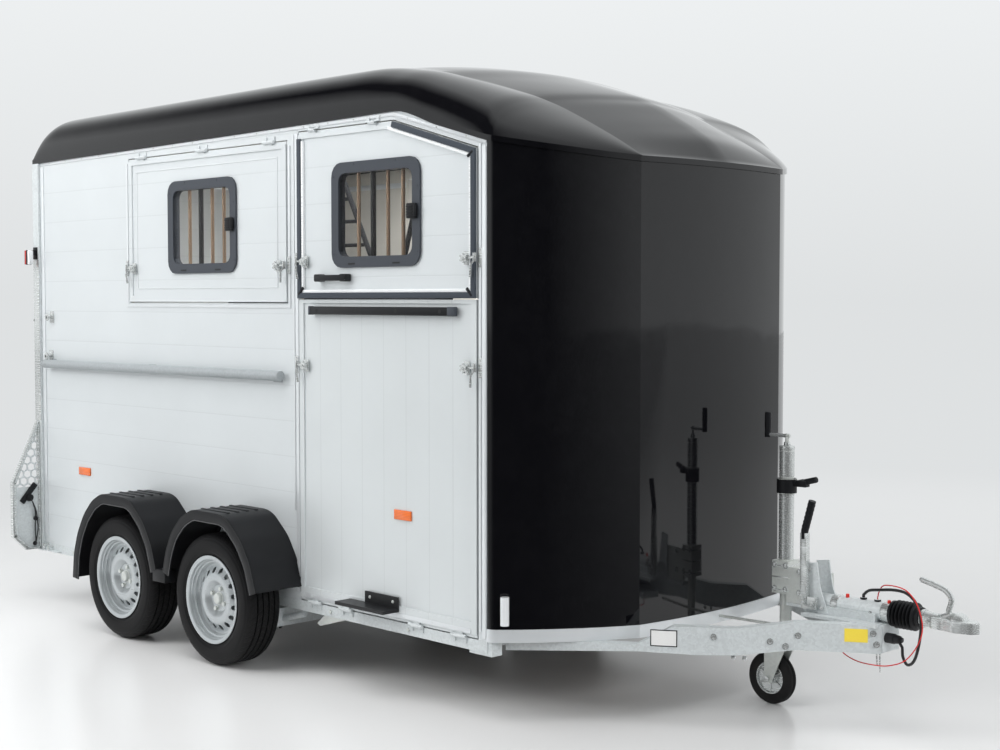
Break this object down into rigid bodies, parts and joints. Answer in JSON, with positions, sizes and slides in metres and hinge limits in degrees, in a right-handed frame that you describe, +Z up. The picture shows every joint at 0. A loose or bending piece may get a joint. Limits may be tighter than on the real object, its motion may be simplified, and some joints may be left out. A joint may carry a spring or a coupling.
{
  "type": "horse trailer",
  "caption": "tandem axle trailer for two horses with ribbed metal walls, gloss black roof and nose, barred windows, side ramp, rear ramp, jockey wheel and coupling",
  "frame": {"origin": "on the ground under the middle of the bounding box", "axes": "+X forward to the coupling, +Y to the trailer's left, +Z up"},
  "size_m": [5.014, 2.34, 2.638],
  "materials": {
    "deck_brown": "phenolic coated board",
    "plank_aluminium": "satin anodised planks",
    "black_gelcoat": "high gloss gelcoat",
    "edge_aluminium": "satin",
    "galvanised": "hot-dip galvanised spangle",
    "black_plastic": "fine grain",
    "lamp_red": "ribbed lens",
    "lamp_clear": "ribbed lens",
    "zinc_plate": "zinc plated",
    "cable_black": "smooth sheath",
    "cable_red": "smooth sheath",
    "slate_frame": "fine grain",
    "pane": "clear",
    "tyre_rubber": "matt rubber",
    "wheel_silver": "silver lacquer"
  },
  "bodies": {
    "trailer": {"floor_deck": "deck_brown", "right_wall": "plank_aluminium", "left_wall": "plank_aluminium", "roof_shell": "black_gelcoat", "nose_shell": "black_gelcoat", "nose_trim": "edge_aluminium", "chassis_frame": "galvanised", "drawbar": "galvanised", "rear_axle": "galvanised", "front_axle": "galvanised", "rear_portal": "galvanised", "partition": "black_plastic", "right_mudguards": "black_plastic", "left_mudguards": "black_plastic", "right_wing": "galvanised", "left_wing": "galvanised", "right_tail_lamp": "lamp_red", "left_tail_lamp": "lamp_red", "right_guard_tube": "galvanised", "left_guard_tube": "galvanised", "right_side_lamp": "lamp_clear", "left_side_lamp": "lamp_clear", "right_front_lamp": "lamp_clear", "left_front_lamp": "lamp_clear", "overrun_housing": "galvanised", "bellows": "black_plastic", "coupling_head": "zinc_plate", "brake_lever": "black_plastic", "jack_body": "zinc_plate", "electric_cable": "cable_black", "breakaway_cable": "cable_red"},
    "rear_ramp": {"rear_ramp": "plank_aluminium"},
    "rear_flap": {"rear_flap": "plank_aluminium"},
    "exit_ramp": {"exit_ramp": "plank_aluminium", "exit_ramp_bar": "black_plastic", "exit_ramp_step": "black_plastic"},
    "exit_flap": {"exit_flap": "plank_aluminium", "exit_window_frame": "slate_frame", "exit_window_glass": "pane"},
    "right_side_flap": {"right_side_flap": "plank_aluminium", "right_flap_window_frame": "slate_frame", "right_flap_window_glass": "pane"},
    "left_side_flap": {"left_side_flap": "plank_aluminium", "left_flap_window_frame": "slate_frame", "left_flap_window_glass": "pane"},
    "groom_door": {"groom_door": "plank_aluminium"},
    "jack_slider": {"jack_inner_tube": "zinc_plate"},
    "jack_fork": {"jack_fork": "zinc_plate"},
    "jack_wheel": {"jack_wheel": "black_plastic"},
    "rear_right_wheel": {"rear_right_tyre": "tyre_rubber", "rear_right_rim": "wheel_silver"},
    "rear_left_wheel": {"rear_left_tyre": "tyre_rubber", "rear_left_rim": "wheel_silver"},
    "front_right_wheel": {"front_right_tyre": "tyre_rubber", "front_right_rim": "wheel_silver"},
    "front_left_wheel": {"front_left_tyre": "tyre_rubber", "front_left_rim": "wheel_silver"}
  },
  "joints": [
    {"name": "rear_ramp_hinge", "type": "hinge", "parent": "trailer", "child": "rear_ramp", "pos_m": [-2.4955, 0, 0.3235], "axis": [0, -1, 0], "range_deg": [0, 104]},
    {"name": "rear_flap_hinge", "type": "hinge", "parent": "trailer", "child": "rear_flap", "pos_m": [-2.4955, 0, 2.2575], "axis": [0, 1, 0], "range_deg": [0, 85]},
    {"name": "exit_ramp_hinge", "type": "hinge", "parent": "trailer", "child": "exit_ramp", "pos_m": [-0.187, -0.9285, 0.3125], "axis": [1, 0, 0], "range_deg": [0, 101]},
    {"name": "exit_flap_hinge", "type": "hinge", "parent": "trailer", "child": "exit_flap", "pos_m": [-0.187, -0.9285, 2.3275], "axis": [-1, 0, 0], "range_deg": [0, 85]},
    {"name": "right_flap_hinge", "type": "hinge", "parent": "trailer", "child": "right_side_flap", "pos_m": [-0.915, -0.9285, 2.2965], "axis": [-1, 0, 0], "range_deg": [0, 85]},
    {"name": "left_flap_hinge", "type": "hinge", "parent": "trailer", "child": "left_side_flap", "pos_m": [-0.915, 0.9285, 2.2965], "axis": [1, 0, 0], "range_deg": [0, 85]},
    {"name": "groom_door_hinge", "type": "hinge", "parent": "trailer", "child": "groom_door", "pos_m": [0.8055, 0.9285, 0.36], "axis": [0, 0, -1], "range_deg": [0, 105]},
    {"name": "rear_right_spin", "type": "hinge", "parent": "trailer", "child": "rear_right_wheel", "pos_m": [-1.32, -1.0605, 0.292], "axis": [0, 1, 0], "continuous": true},
    {"name": "rear_left_spin", "type": "hinge", "parent": "trailer", "child": "rear_left_wheel", "pos_m": [-1.32, 1.0605, 0.292], "axis": [0, 1, 0], "continuous": true},
    {"name": "front_right_spin", "type": "hinge", "parent": "trailer", "child": "front_right_wheel", "pos_m": [-0.547, -1.0605, 0.292], "axis": [0, 1, 0], "continuous": true},
    {"name": "front_left_spin", "type": "hinge", "parent": "trailer", "child": "front_left_wheel", "pos_m": [-0.547, 1.0605, 0.292], "axis": [0, 1, 0], "continuous": true},
    {"name": "jack_slide", "type": "slide", "parent": "trailer", "child": "jack_slider", "axis": [0, 0, 1], "range_m": [0, 0.15]},
    {"name": "jack_swivel", "type": "hinge", "parent": "jack_slider", "child": "jack_fork", "pos_m": [1.623, 0.09, 0.255], "axis": [0, 0, 1], "continuous": true},
    {"name": "jack_wheel_spin", "type": "hinge", "parent": "jack_fork", "child": "jack_wheel", "pos_m": [1.563, 0.09, 0.105], "axis": [0, 1, 0], "continuous": true}
  ]
}
